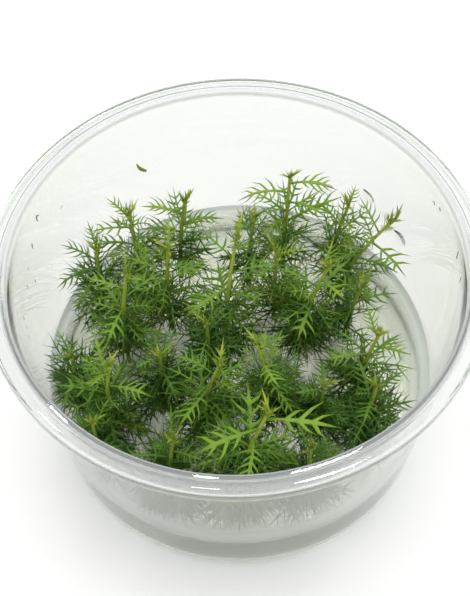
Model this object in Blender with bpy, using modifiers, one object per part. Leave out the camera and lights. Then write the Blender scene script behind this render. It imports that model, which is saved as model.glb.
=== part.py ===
"""Mermaid weed growing in clear gel, in a clear culture cup with its lid off.

Metres, +Z up. The origin is the centre of the cup's base, on the surface that it stands on.
Sizes and places below are in millimetres, and MM turns them into metres where a mesh is made.
"""
import math
import random

import bmesh
import bpy
from mathutils import Vector
from mathutils.bvhtree import BVHTree

MM = 0.001

# The cup
RIM_RADIUS = 50.0
CUP_HEIGHT = 59.0
WALL = 0.9
FLOOR = 1.1
WALL_FOOT_RADIUS = 43.95
WALL_FLARE = 0.0297
FLANGE_THICK = 1.3
SKIRT_DROP = 2.4
SKIRT_THICK = 0.8
FOOT_ROUND = 4.6
TURN_STEPS = 36

# The gel, and the gap that every piece keeps to its neighbour
GEL_TOP = 18.6
GAP = 0.3

# The plants
STEM_HALF_WIDTH = 0.45
STEM_TIP_HALF_WIDTH = 0.3
NODE_HALF_HEIGHT = 0.55
ROOT_DEPTH = 5.0
POCKET_SIDES = 5
LEAF_THICK = 0.5
LEAF_CLEARANCE = 0.2
LEAF_HALF_WIDTH = 0.24
RIB_HALF_WIDTH = 0.35
YOUNG_HALF_WIDTH = 0.75
LOBE_STEP = 0.1
LOBES = (
    (),
    ((0.62, 0.9),),
    ((0.48, 1.0), (0.8, 0.75)),
)
NODE_SHARE = 0.12
WALL_CLEARANCE = 0.5
TOP_LIMIT = 57.6
GOLDEN_ANGLE = 137.5
FIRST_LEAF = 0.12
LAST_LEAF = 0.92
SEED = 31

# Name, foot on the gel (x, y), tip (x, y, z), number of leaves, longest leaf, bearing of the first leaf
SHOOTS = (
    ("shoot_centre_tall", (-3.5, 1.0), (0.4, 10.8, 51.0), 9, 13.0, 40),
    ("shoot_back_right_tall", (12.0, 26.5), (12.9, 29.3, 47.5), 9, 12.5, 300),
    ("shoot_right_leaning", (25.0, 17.0), (36.6, 20.8, 41.5), 9, 12.0, 20),
    ("shoot_front_centre", (-1.0, -34.0), (5.2, -30.3, 49.5), 9, 14.0, 100),
    ("shoot_left_yellow", (-26.5, 0.6), (-23.1, 3.1, 48.5), 9, 12.5, 75),
    ("shoot_left_front", (-29.0, -19.0), (-26.1, -17.1, 45.5), 9, 12.5, 10),
    ("shoot_back_left_tall", (-14.0, 25.0), (-11.2, 26.0, 44.0), 8, 11.5, 150),
    ("shoot_left_upper", (-32.4, 13.4), (-31.6, 16.2, 40.5), 8, 12.0, 190),
    ("shoot_left_mid", (-16.4, 9.6), (-14.8, 11.3, 46.0), 8, 12.0, 330),
    ("shoot_right_back", (15.2, 4.2), (19.8, 5.3, 45.5), 9, 13.0, 200),
    ("shoot_centre_left", (-8.7, -18.6), (-3.7, -17.8, 46.5), 9, 12.5, 60),
    ("shoot_centre_young", (6.8, -16.0), (3.6, -13.2, 45.5), 8, 11.5, 250),
    ("shoot_right_front_bright", (26.0, -11.6), (29.8, -8.5, 40.5), 8, 12.0, 0),
    ("shoot_back_left_edge", (-23.8, 22.0), (-24.1, 24.0, 42.5), 8, 11.0, 120),
    ("shoot_right_upper", (24.0, 26.0), (26.8, 26.8, 40.0), 7, 11.0, 80),
    ("shoot_right_inner", (8.8, 11.4), (9.0, 12.8, 42.0), 6, 11.5, 170),
    ("shoot_right_mid", (25.6, 4.6), (27.6, 4.2, 39.5), 7, 11.0, 310),
    ("shoot_right_front_dark", (26.6, -22.2), (28.0, -20.0, 38.0), 8, 12.5, 280),
    ("shoot_left_wall", (-36.6, -10.2), (-35.8, -9.6, 36.5), 7, 11.5, 140),
    ("shoot_front_left_dark", (-30.4, -27.2), (-30.2, -25.6, 37.5), 7, 11.0, 220),
    ("shoot_front_left_low", (-15.5, -33.5), (-13.4, -31.1, 40.5), 8, 12.0, 350),
    ("shoot_front_right_low", (13.0, -35.5), (13.6, -33.2, 38.5), 8, 11.5, 20),
    ("shoot_centre_low", (-17.4, -11.9), (-16.6, -11.7, 39.5), 8, 11.5, 110),
    ("shoot_middle", (-6.6, -5.5), (-6.8, -4.6, 40.5), 6, 11.0, 200),
    ("shoot_right_low", (17.0, -20.0), (17.4, -18.6, 37.0), 6, 11.5, 30),
    ("shoot_back_mid", (2.8, 21.8), (4.6, 23.0, 41.0), 6, 10.5, 30),
    ("shoot_back_left_low", (-21.6, 12.6), (-20.9, 12.4, 37.5), 6, 10.0, 270),
)

# Leaves that stand out from the clump, by their number from the foot: (bearing, lift, droop, length)
SPREADING_LEAVES = {
    "shoot_back_right_tall": {
        3: (8, 22, 14, 15.5),
        4: (150, 26, 36, 10.0),
        5: (335, 26, 52, 11.0),
        6: (186, 32, 64, 13.0),
        7: (350, 28, 74, 12.0),
    },
    "shoot_left_upper": {4: (193, 8, 92, 14.0), 6: (100, 46, 30, 8.0)},
    "shoot_right_leaning": {3: (338, 10, 40, 11.0), 5: (310, 10, 50, 12.5), 6: (128, 48, 30, 10.0)},
    "shoot_back_left_edge": {5: (196, 30, 50, 10.5), 6: (150, 52, 20, 8.0)},
    "shoot_back_left_tall": {4: (8, 24, 44, 10.5), 5: (172, 34, 44, 10.5)},
    "shoot_front_centre": {
        4: (88, 26, 24, 14.0),
        5: (262, 20, 30, 11.0),
        6: (202, 18, 34, 15.0),
        7: (350, 18, 30, 15.0),
    },
}

# A torn-off leaf tip that sticks to the inside of the wall, at the back
SCRAP_BEARING = 119.4
SCRAP_HEIGHT = 41.5
SCRAP_LENGTH = 3.2
SCRAP_WIDTH = 0.9
SCRAP_THICK = 0.3

CUP_LOOK = dict(colour=(0.93, 0.95, 0.94), roughness=0.08, alpha=0.25)
GEL_LOOK = dict(colour=(0.86, 0.89, 0.85), roughness=0.05, alpha=0.4)
YOUNG_HEIGHT = 45.0
LEAF_LOOK = dict(colour=(0.09, 0.24, 0.04), roughness=0.5)
YOUNG_LOOK = dict(colour=(0.29, 0.42, 0.06), roughness=0.5)


def empty_scene():
    """Remove whatever the file starts with."""
    for item in list(bpy.data.objects):
        bpy.data.objects.remove(item, do_unlink=True)


def new_collection(name):
    """Make a collection under the scene."""
    group = bpy.data.collections.new(name)
    bpy.context.scene.collection.children.link(group)
    return group


def new_material(name, colour, roughness, alpha=1.0):
    """Make a plain Principled material."""
    material = bpy.data.materials.new(name)
    material.use_nodes = True
    shader = material.node_tree.nodes["Principled BSDF"]
    shader.inputs["Base Color"].default_value = (*colour, 1.0)
    shader.inputs["Roughness"].default_value = roughness
    shader.inputs["Metallic"].default_value = 0.0
    shader.inputs["Alpha"].default_value = alpha
    return material


def turned_piece(name, profile, group):
    """Turn a profile of (radius, height) about the Z axis; it runs from the inside over to the outside."""
    mesh = bpy.data.meshes.new(name)
    points = [(radius * MM, 0.0, height * MM) for radius, height in profile]
    mesh.from_pydata(points, [(i, i + 1) for i in range(len(points) - 1)], [])
    piece = bpy.data.objects.new(name, mesh)
    group.objects.link(piece)
    screw = piece.modifiers.new("turn", "SCREW")
    screw.steps = TURN_STEPS
    screw.render_steps = TURN_STEPS
    screw.use_merge_vertices = True
    screw.merge_threshold = 0.00001
    screw.use_smooth_shade = True
    return piece


def inner_radius(height):
    """Radius of the cup's inside at a height."""
    return WALL_FOOT_RADIUS + WALL_FLARE * height


def cup_profile():
    """Section of the cup: floor, inner wall, flat flange, skirt, outer wall and foot."""
    under = CUP_HEIGHT - FLANGE_THICK
    skirt_foot = CUP_HEIGHT - SKIRT_DROP
    skirt_inner = RIM_RADIUS - SKIRT_THICK
    neck = inner_radius(under)
    return [
        (0.0, FLOOR),
        (inner_radius(0.0) - 3.55, FLOOR),
        (inner_radius(0.0) - 1.0, FLOOR + 0.95),
        (inner_radius(FOOT_ROUND), FOOT_ROUND),
        (inner_radius(CUP_HEIGHT - 0.8), CUP_HEIGHT - 0.8),
        (neck + 0.45, CUP_HEIGHT),
        (RIM_RADIUS - 0.4, CUP_HEIGHT),
        (RIM_RADIUS, CUP_HEIGHT - 0.5),
        (RIM_RADIUS, skirt_foot),
        (skirt_inner, skirt_foot),
        (skirt_inner, under),
        (neck + WALL + 0.4, under),
        (neck + WALL, under - 0.8),
        (inner_radius(FOOT_ROUND) + WALL, FOOT_ROUND),
        (inner_radius(0.0) - 0.3, 1.35),
        (inner_radius(0.0) - 3.55, 0.0),
        (0.0, 0.0),
    ]


def gel_profile():
    """Section of the gel, which fills the cup's foot up to GEL_TOP."""
    return [
        (0.0, GEL_TOP),
        (inner_radius(GEL_TOP) - GAP, GEL_TOP),
        (inner_radius(FOOT_ROUND) - GAP, FOOT_ROUND + 0.1),
        (inner_radius(0.0) - 1.3, FLOOR + 0.95 + GAP),
        (inner_radius(0.0) - 3.65, FLOOR + GAP),
        (0.0, FLOOR + GAP),
    ]


def stem_at(shoot, share):
    """Point at a share of a stem's way up: straight out of the gel, then leaning to its tip."""
    _, foot, tip, *_ = shoot
    low = Vector((foot[0], foot[1], GEL_TOP + GAP))
    high = Vector(tip)
    bend = low.lerp(high, 0.2)
    bend.z = low.z + 0.62 * (high.z - low.z)
    return low * (1 - share) ** 2 + bend * (2 * share * (1 - share)) + high * share ** 2


def stem_half_width(share):
    """Half the width of a stem at a share of its way up."""
    return STEM_HALF_WIDTH + (STEM_TIP_HALF_WIDTH - STEM_HALF_WIDTH) * share


def leaf_point(leaf, along, side, above):
    """Map a flat leaf's point (share of length, sideways, off the blade) onto the arched leaf."""
    root, bearing, lift, droop, length, roll = leaf
    turn = math.radians(bearing)
    start = math.radians(lift)
    bow = math.radians(droop)
    here = start - bow * along
    if abs(bow) < 0.01:
        forward = length * along * math.cos(start)
        up = length * along * math.sin(start)
    else:
        forward = length / bow * (math.sin(start) - math.sin(here))
        up = length / bow * (math.cos(here) - math.cos(start))
    heading = Vector((math.cos(turn), math.sin(turn), 0.0))
    across = Vector((-math.sin(turn), math.cos(turn), 0.0))
    normal = Vector((0, 0, math.cos(here))) - heading * math.sin(here)
    tilt = math.radians(roll)
    flat = across * math.cos(tilt) + normal * math.sin(tilt)
    face = normal * math.cos(tilt) - across * math.sin(tilt)
    return root + heading * forward + Vector((0, 0, up)) + flat * side + face * above


def leaf_section(leaf, along, reach, half):
    """Corners of the cross-section of a leaf at a share of its length."""
    corners = ((-reach, -half), (reach, -half), (reach, half), (-reach, half))
    return [leaf_point(leaf, along, side, above) for side, above in corners]


def tube_faces(rings):
    """Side faces of a tube through rings of four points."""
    faces = []
    for ring in range(rings - 1):
        for corner in range(4):
            here = ring * 4 + corner
            beside = ring * 4 + (corner + 1) % 4
            faces.append((here, beside, beside + 4, here + 4))
    return faces


def leaf_slab(leaf, start=0.0):
    """A slightly thick envelope of a leaf from a share of its length on, to keep leaves apart."""
    points = []
    for along, share in ((start, 0.4), (0.3, 0.95), (0.6, 1.0), (0.85, 0.7), (1.03, 0.05)):
        reach = share * LEAF_HALF_WIDTH * leaf[4] + LEAF_CLEARANCE
        points.extend(leaf_section(leaf, along, reach, LEAF_THICK / 2 + LEAF_CLEARANCE))
    return points, tube_faces(5)


def stem_slab(shoot):
    """A square tube round a stem, with the clearance that other leaves keep to it."""
    reach = STEM_HALF_WIDTH + GAP
    points = []
    for step in range(6):
        spot = stem_at(shoot, step / 5)
        points.extend(square_ring(spot, reach))
    return points, tube_faces(6)


def square_ring(middle, reach):
    """Corners of a level square."""
    corners = ((-reach, -reach), (reach, -reach), (reach, reach), (-reach, reach))
    return [middle + Vector((x, y, 0.0)) for x, y in corners]


def tree_of(slabs):
    """One search tree over several slabs."""
    points = []
    faces = []
    for slab_points, slab_faces in slabs:
        base = len(points)
        points.extend(slab_points)
        faces.extend([tuple(base + index for index in face) for face in slab_faces])
    return BVHTree.FromPolygons(points, faces)


def inside_cup(points):
    """Whether all points keep clear of the gel, the wall and the cup's mouth."""
    for point in points:
        if point.z < GEL_TOP + GAP or point.z > TOP_LIMIT:
            return False
        if math.hypot(point.x, point.y) > inner_radius(point.z) - WALL_CLEARANCE:
            return False
    return True


def nudges():
    """Ways to shift a leaf that doesn't fit, from the smallest to the largest."""
    shifts = []
    for shrink in (1.0, 0.86, 0.72, 0.58, 0.45):
        for turn in (0, 14, -14, 28, -28, 45, -45, 70, -70):
            for lift in (0, 12, -12, 26):
                shifts.append((turn, lift, shrink))
    return shifts


def settle(leaf, others, own):
    """Turn, lift or shorten a leaf until it clears the cup, the gel and all other leaves and stems."""
    root, bearing, lift, droop, length, roll = leaf
    for turn, raised, shrink in nudges():
        trial = (root, bearing + turn, lift + raised, droop, length * shrink, roll)
        points, faces = leaf_slab(trial)
        if not inside_cup(points) or others.overlap(BVHTree.FromPolygons(points, faces)):
            continue
        if not own.overlap(tree_of([leaf_slab(trial, NODE_SHARE)])):
            return trial
    return None


def wanted_leaves(shoot, chance):
    """The leaves that a shoot would bear if nothing stood in their way, as (share up the stem, leaf)."""
    name, _, _, count, longest, first = shoot
    special = SPREADING_LEAVES.get(name, {})
    wanted = []
    for number in range(count):
        level = (number + 0.5) / count
        share = FIRST_LEAF + (LAST_LEAF - FIRST_LEAF) * number / (count - 2)
        if number == count - 1:
            share = 1.0
        bearing = first + GOLDEN_ANGLE * number + chance.uniform(-14, 14)
        lift = 8 + 60 * level ** 2.2 + chance.uniform(-7, 7)
        droop = 46 * (1 - level ** 3) + chance.uniform(-8, 8)
        size = 0.78 + 0.22 * min(1.0, level / 0.45) - 0.62 * max(0.0, (level - 0.45) / 0.55) ** 1.6
        length = longest * size * chance.uniform(0.92, 1.05)
        roll = chance.uniform(-25, 25)
        if number in special:
            bearing, lift, droop, length = special[number]
            roll = 0.0
        wanted.append((share, (stem_at(shoot, share), bearing, lift, droop, length, roll)))
    return wanted


def grow_all():
    """Settle every shoot's leaves in turn; return (share up the stem, leaf) pairs by shoot name."""
    stems = {shoot[0]: stem_slab(shoot) for shoot in SHOOTS}
    grown = {}
    slabs = []
    for index, shoot in enumerate(SHOOTS):
        chance = random.Random(SEED + index)
        others = [slab for name, slab in stems.items() if name != shoot[0]]
        tree = tree_of(others + slabs)
        kept = []
        for share, leaf in wanted_leaves(shoot, chance):
            own = tree_of([leaf_slab(other, NODE_SHARE) for _, other in kept])
            settled = settle(leaf, tree, own)
            if settled:
                kept.append((share, settled))
        slabs.extend([leaf_slab(leaf) for _, leaf in kept])
        grown[shoot[0]] = kept
    return grown


def lobe_pairs(length):
    """Lobe pairs that a leaf of this length shows."""
    if length < 6.0:
        return 0
    if length < 10.5:
        return 1
    return 2


def leaf_stations(leaf):
    """Where a leaf swells and narrows, once for each pair of lobes, as (share of length, half width)."""
    length = leaf[4]
    stations = []
    for along, share in LOBES[lobe_pairs(length)]:
        stations.append((along - LOBE_STEP, share * LEAF_HALF_WIDTH * length))
        stations.append((along, RIB_HALF_WIDTH))
    if not stations:
        stations.append((0.45, YOUNG_HALF_WIDTH))
    return stations


def extrude_to(work, face, corners):
    """Extrude a face and set its corners, in order."""
    moved = bmesh.ops.extrude_discrete_faces(work, faces=[face])["faces"][0]
    for vertex, corner in zip(moved.verts, corners):
        vertex.co = corner * MM
    return moved


def corner_shift(face, section):
    """How far to count round a section's corners so that they sit opposite a face's corners."""
    middle = face.calc_center_median()
    centre = sum(section, Vector()) / 4
    offsets = [vertex.co - middle for vertex in face.verts]
    return max(range(4), key=lambda shift: sum(
        offset.dot(section[(number + shift) % 4] - centre) for number, offset in enumerate(offsets)
    ))


def grow_leaf(work, face, leaf):
    """Extrude a leaf out of a stem's face, section by section, to its tip."""
    shift = corner_shift(face, leaf_section(leaf, 0.1, NODE_HALF_HEIGHT, NODE_HALF_HEIGHT))
    for along, reach in leaf_stations(leaf):
        section = leaf_section(leaf, along, reach, LEAF_THICK / 2)
        face = extrude_to(work, face, section[shift:] + section[:shift])
    face = extrude_to(work, face, [leaf_point(leaf, 1.0, 0.0, 0.0)] * 4)
    bmesh.ops.pointmerge(work, verts=face.verts, merge_co=face.verts[0].co.copy())


def side_facing(ring_face, bearing):
    """The side face just below a stem's end face that looks most nearly along a bearing."""
    turn = math.radians(bearing)
    heading = Vector((math.cos(turn), math.sin(turn), 0.0))
    sides = []
    for edge in ring_face.edges:
        sides.extend([face for face in edge.link_faces if face != ring_face])
    for side in sides:
        side.normal_update()
    return max(sides, key=lambda side: side.normal.dot(heading))


def shoot_mesh(shoot, leaves):
    """Extrude a square stem up from its foot, and each leaf out of its own short stretch of the stem.

    The last leaf grows out of the stem's end.
    """
    work = bmesh.new()
    foot = stem_at(shoot, 0.0)
    start = foot - Vector((0.0, 0.0, ROOT_DEPTH + GAP))
    corners = [work.verts.new(corner * MM) for corner in square_ring(start, STEM_HALF_WIDTH)]
    base = work.faces.new(corners)
    bottom = base.copy()
    bottom.normal_flip()
    end = extrude_to(work, base, square_ring(foot, STEM_HALF_WIDTH))
    step = NODE_HALF_HEIGHT / (shoot[2][2] - GEL_TOP)
    sprouts = []
    for share, leaf in leaves:
        if share == 1.0:
            break
        end = extrude_to(work, end, square_ring(stem_at(shoot, share - step), stem_half_width(share)))
        end = extrude_to(work, end, square_ring(stem_at(shoot, share + step), stem_half_width(share)))
        sprouts.append((side_facing(end, leaf[1]), leaf))
    end = extrude_to(work, end, square_ring(stem_at(shoot, 1.0), STEM_TIP_HALF_WIDTH))
    if leaves[-1][0] == 1.0:
        sprouts.append((end, leaves[-1][1]))
    for face, leaf in sprouts:
        grow_leaf(work, face, leaf)
    bmesh.ops.remove_doubles(work, verts=work.verts, dist=0.000001)
    bmesh.ops.recalc_face_normals(work, faces=work.faces)
    bmesh.ops.triangulate(work, faces=work.faces)
    mesh = bpy.data.meshes.new(shoot[0])
    work.to_mesh(mesh)
    work.free()
    return mesh


def add_shoot(shoot, leaves, group):
    """One plant: a stem with its leaves."""
    name = shoot[0]
    plant = bpy.data.objects.new(name, shoot_mesh(shoot, leaves))
    group.objects.link(plant)
    look = YOUNG_LOOK if shoot[2][2] > YOUNG_HEIGHT else LEAF_LOOK
    plant.data.materials.append(new_material(name + "_green", **look))
    return plant


def hide_guide(item):
    """Show a cutter as a wire and keep it out of renders."""
    item.hide_render = True
    item.display_type = "WIRE"


def add_stem_pockets(gel, guides):
    """Sink a pocket in the gel for each stem's foot."""
    work = bmesh.new()
    radius = (STEM_HALF_WIDTH * math.sqrt(2) + 2 * GAP) * MM
    bottom = GEL_TOP - ROOT_DEPTH - 2 * GAP
    top = GEL_TOP + 2.0
    for shoot in SHOOTS:
        pocket = bmesh.ops.create_cone(
            work,
            cap_ends=True,
            segments=POCKET_SIDES,
            radius1=radius,
            radius2=radius,
            depth=(top - bottom) * MM,
        )
        middle = Vector((shoot[1][0], shoot[1][1], (top + bottom) / 2)) * MM
        bmesh.ops.translate(work, verts=pocket["verts"], vec=middle)
    mesh = bpy.data.meshes.new("stem_pockets")
    work.to_mesh(mesh)
    work.free()
    cutter = bpy.data.objects.new("stem_pockets", mesh)
    guides.objects.link(cutter)
    hide_guide(cutter)
    cut = gel.modifiers.new("pockets", "BOOLEAN")
    cut.operation = "DIFFERENCE"
    cut.solver = "EXACT"
    cut.object = cutter


def add_scrap(group):
    """The torn leaf tip on the wall, a thin wedge that stands a gap off the plastic."""
    turn = math.radians(SCRAP_BEARING)
    distance = inner_radius(SCRAP_HEIGHT) - 2 * GAP - SCRAP_THICK
    bpy.ops.mesh.primitive_cone_add(
        vertices=5,
        radius1=SCRAP_WIDTH / 2 * MM,
        radius2=SCRAP_WIDTH / 8 * MM,
        depth=SCRAP_LENGTH * MM,
        location=(math.cos(turn) * distance * MM, math.sin(turn) * distance * MM, SCRAP_HEIGHT * MM),
        rotation=(0.0, math.radians(28), turn + math.pi / 2),
    )
    scrap = bpy.context.active_object
    scrap.name = "leaf_scrap"
    for owner in list(scrap.users_collection):
        owner.objects.unlink(scrap)
    group.objects.link(scrap)
    scrap.data.materials.append(new_material("leaf_scrap_green", **YOUNG_LOOK))


def main():
    """Build the cup, the gel and the plants."""
    empty_scene()
    group = new_collection("mermaid_weed")
    guides = new_collection("guides")
    cup = turned_piece("cup", cup_profile(), group)
    cup.data.materials.append(new_material("cup_plastic", **CUP_LOOK))
    gel = turned_piece("culture_gel", gel_profile(), group)
    gel.data.materials.append(new_material("clear_gel", **GEL_LOOK))
    add_stem_pockets(gel, guides)
    grown = grow_all()
    for shoot in SHOOTS:
        add_shoot(shoot, grown[shoot[0]], group)
    add_scrap(group)


main()
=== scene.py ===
# Mermaid weed in clear gel in an open culture cup: foliage, cup, gel, light and camera.
# Sizes are written in millimetres and turned into metres with mm.
import math
import random

import bmesh
import bpy
import numpy as np
from mathutils import Matrix, Vector
from mathutils.bvhtree import BVHTree


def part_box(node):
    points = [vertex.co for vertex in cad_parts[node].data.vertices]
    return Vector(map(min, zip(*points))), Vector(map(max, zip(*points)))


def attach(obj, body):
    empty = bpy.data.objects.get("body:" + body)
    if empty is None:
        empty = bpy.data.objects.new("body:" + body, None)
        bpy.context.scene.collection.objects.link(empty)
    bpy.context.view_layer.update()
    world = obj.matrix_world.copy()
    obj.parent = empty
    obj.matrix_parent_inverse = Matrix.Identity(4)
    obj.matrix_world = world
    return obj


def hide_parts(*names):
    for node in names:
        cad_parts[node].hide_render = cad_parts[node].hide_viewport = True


mm = 0.001

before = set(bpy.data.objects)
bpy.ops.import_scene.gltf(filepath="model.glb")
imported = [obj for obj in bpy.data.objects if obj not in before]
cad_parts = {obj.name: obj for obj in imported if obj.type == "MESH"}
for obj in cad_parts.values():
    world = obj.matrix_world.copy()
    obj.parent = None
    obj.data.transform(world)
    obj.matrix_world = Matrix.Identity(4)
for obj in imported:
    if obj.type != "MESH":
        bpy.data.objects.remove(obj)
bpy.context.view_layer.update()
print("frame loaded:", len(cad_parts), "nodes")


# Shader maths: a wire is a socket that can be added, multiplied and so on
class Wire:
    def __init__(self, finish, socket):
        self.finish = finish
        self.socket = socket

    def maths(self, operation, first, second):
        return self.finish.node("Math", {"operation": operation}, {0: first, 1: second})

    def __add__(self, other):
        return self.maths("ADD", self, other)

    __radd__ = __add__

    def __mul__(self, other):
        return self.maths("MULTIPLY", self, other)

    __rmul__ = __mul__

    def __sub__(self, other):
        return self.maths("SUBTRACT", self, other)

    def __rsub__(self, other):
        return self.maths("SUBTRACT", other, self)

    def __gt__(self, other):
        return self.maths("GREATER_THAN", self, other)

    # how far the value has come from start to end, in millimetres, kept between 0 and 1
    def rise(self, start, end):
        return self.finish.node("MapRange", {}, {0: self, 1: start * mm, 2: end * mm})


class Finish:
    def __init__(self, name, owner=None):
        self.owner = owner or bpy.data.materials.new(name)
        self.owner.use_nodes = True
        self.tree = self.owner.node_tree
        self.tree.nodes.clear()

    # settings go on first, then the values or wires of the sockets
    def node(self, kind, settings=None, values=None, output=0):
        node = self.tree.nodes.new("ShaderNode" + kind)
        for setting, value in (settings or {}).items():
            if setting == "stops":
                ramp = node.color_ramp
                while len(ramp.elements) < len(value):
                    ramp.elements.new(0.5)
                for element, (place, colour) in zip(ramp.elements, value):
                    element.position = place
                    element.color = (*colour, 1.0)
            else:
                setattr(node, setting, value)
        for socket, value in (values or {}).items():
            self.plug(node.inputs[socket], value)
        return Wire(self, node.outputs[output]) if node.outputs else node

    # colours are written without their fourth number
    def plug(self, socket, value):
        if isinstance(value, Wire):
            self.tree.links.new(value.socket, socket)
        else:
            socket.default_value = (*value, 1.0) if socket.type == "RGBA" else value

    def blend(self, factor, first, second):
        return self.node("Mix", {"data_type": "RGBA"}, {0: factor, 6: first, 7: second}, 2)

    def bump(self, strength, depth, height):
        return self.node("Bump", {}, {"Strength": strength, "Distance": depth * mm, "Height": height})

    def place(self):
        return self.node("TexCoord", output="Object")

    def attribute(self, name):
        return self.node("Attribute", {"attribute_name": name}, output="Fac")

    def noise(self, scale, detail=3.0, stretch=(1.0, 1.0, 1.0)):
        where = self.node("Mapping", {}, {"Vector": self.place(), "Scale": stretch})
        return self.node("TexNoise", {}, {"Vector": where, "Scale": scale, "Detail": detail})

    def close(self, surface, volume=None):
        values = {"Surface": surface}
        if volume:
            values["Volume"] = volume
        self.node("OutputMaterial", {}, values)
        return self.owner


def startClean():
    bpy.ops.object.select_all(action="DESELECT")


def finishPiece(piece, material, slot, *nodes):
    piece.data.materials.clear()
    piece.data.materials.append(material)
    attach(piece, "root")
    if nodes:
        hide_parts(*nodes)


def pickFaces(piece, wanted):
    bpy.ops.mesh.select_all(action="DESELECT")
    work = bmesh.from_edit_mesh(piece.data)
    middles = []
    for face in work.faces:
        middle = face.calc_center_median()
        if wanted(middle, face.normal):
            face.select_set(True)
            middles.append(middle.copy())
    bmesh.update_edit_mesh(piece.data)
    return middles


def startEdit():
    piece = bpy.context.object
    bpy.ops.object.transform_apply()
    bpy.ops.object.mode_set(mode="EDIT")
    return piece


def pull(step):
    bpy.ops.mesh.extrude_region_move(TRANSFORM_OT_translate={"value": step})


def addItem(name, data):
    item = bpy.data.objects.new(name, data)
    bpy.context.scene.collection.objects.link(item)
    return item


# a shape that is used many times is kept as points and faces
def takeMesh(piece):
    bpy.ops.object.mode_set(mode="OBJECT")
    points = np.array([vertex.co[:] for vertex in piece.data.vertices])
    faces = [tuple(face.vertices) for face in piece.data.polygons]
    bpy.data.objects.remove(piece)
    return points, faces


# Foliage finish: age, hue and edge are attributes that each leaf carries
leafLook = {
    "ageStops": (
        (0.0, (0.015, 0.050, 0.008)),
        (0.35, (0.056, 0.162, 0.015)),
        (0.68, (0.205, 0.380, 0.031)),
        (1.0, (0.500, 0.575, 0.062)),
    ),
    # some leaves are cooler or dead, by hue, and ripe leaves are paler at the middle
    "cool": (0.055, 0.190, 0.036), "coolFrom": 0.72, "coolShare": 0.5,
    "pale": (0.340, 0.450, 0.080), "paleShare": 0.3, "dead": (0.110, 0.075, 0.035),
    "deadFrom": 0.985, "deadShare": 0.9, "patchScale": 420.0, "patchShare": 0.22,
    "grainScale": 3200.0, "grainShare": 0.25, "bump": 0.25, "bumpDepth": 0.06,
    "roughness": 0.5, "gloss": 0.3, "through": 0.3, "throughBright": (0.360, 0.560, 0.040),
    "throughDark": (0.140, 0.330, 0.025),
}


def leafFinish(name, through):
    look = leafLook
    finish = Finish(name)
    age, hue, edge = (finish.attribute(name) for name in ("age", "hue", "edge"))
    patches = finish.noise(look["patchScale"])
    grain = finish.noise(look["grainScale"], 2.0)
    patchedAge = age + (patches - 0.5) * look["patchShare"]
    colour = finish.node("ValToRGB", {"stops": look["ageStops"]}, {0: patchedAge})
    colour = finish.blend((hue > look["coolFrom"]) * look["coolShare"], colour, look["cool"])
    colour = finish.blend((1 - edge) * look["paleShare"] * age, colour, look["pale"])
    colour = finish.blend((hue > look["deadFrom"]) * look["deadShare"], colour, look["dead"])
    shader = finish.node("BsdfPrincipled", {}, {
        "Base Color": colour,
        "Roughness": (grain - 0.5) * look["grainShare"] + look["roughness"],
        "Normal": finish.bump(look["bump"], look["bumpDepth"], grain),
        "Specular IOR Level": look["gloss"],
    })
    light = finish.node("BsdfTranslucent", {}, {"Color": through})
    return finish.close(finish.node("MixShader", {}, {0: look["through"], 1: shader, 2: light}))


# lit and shaded copies of the leaf finish: the bright one is partly painted light, the dark one partly
# painted shade
brightGreen = leafFinish("leaf_green_bright", leafLook["throughBright"])
darkGreen = leafFinish("leaf_green_dark", leafLook["throughDark"])


# A ring is a zone in which a clear thing is milky, and a dark ring is painted shade: radius, height, share,
# colour, roughness
def addRings(finish, clear, look):
    place = finish.place()
    height = finish.node("SeparateXYZ", {}, {0: place}, "Z")
    flat = finish.node("VectorMath", {"operation": "MULTIPLY"}, {0: place, 1: (1.0, 1.0, 0.0)})
    radius = finish.node("VectorMath", {"operation": "LENGTH"}, {0: flat}, "Value")
    shader = clear
    for across, up, most, colour, roughness in look["rings"]:
        share = radius.rise(*across) * height.rise(*up) * most
        milkAndPaintedShade = finish.node("BsdfPrincipled", {}, {
            "Base Color": colour,
            "Roughness": roughness,
            "IOR": look["ior"],
        })
        shader = finish.node("MixShader", {}, {0: share, 1: shader, 2: milkAndPaintedShade})
    return shader


# depth of the ripples on clear things, at a strength of 1
rippleDepth = 0.4


# Plastic, gel and water let shadow rays through, as thin clear things do
def clearFinish(name, look):
    finish = Finish(name)
    haze = finish.noise(look["hazeScale"], 4.0)
    ripple = finish.noise(look["rippleScale"], 2.0, look["rippleStretch"])
    shader = finish.node("BsdfPrincipled", {}, {
        "Base Color": look["colour"],
        "Roughness": haze * look["haze"] + look["roughness"],
        "IOR": look["ior"],
        "Transmission Weight": look["clear"],
        "Normal": finish.bump(look["ripple"], rippleDepth, ripple),
    })
    if "rings" in look:
        shader = addRings(finish, shader, look)
    through = finish.node("BsdfTransparent", {}, {"Color": look["shadow"]})
    shadowRay = finish.node("LightPath", output="Is Shadow Ray")
    surface = finish.node("MixShader", {}, {0: shadowRay, 1: shader, 2: through})
    volume = finish.node("VolumeAbsorption", {}, {"Color": look["tint"], "Density": look["density"]})
    return finish.close(surface, volume)


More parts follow.
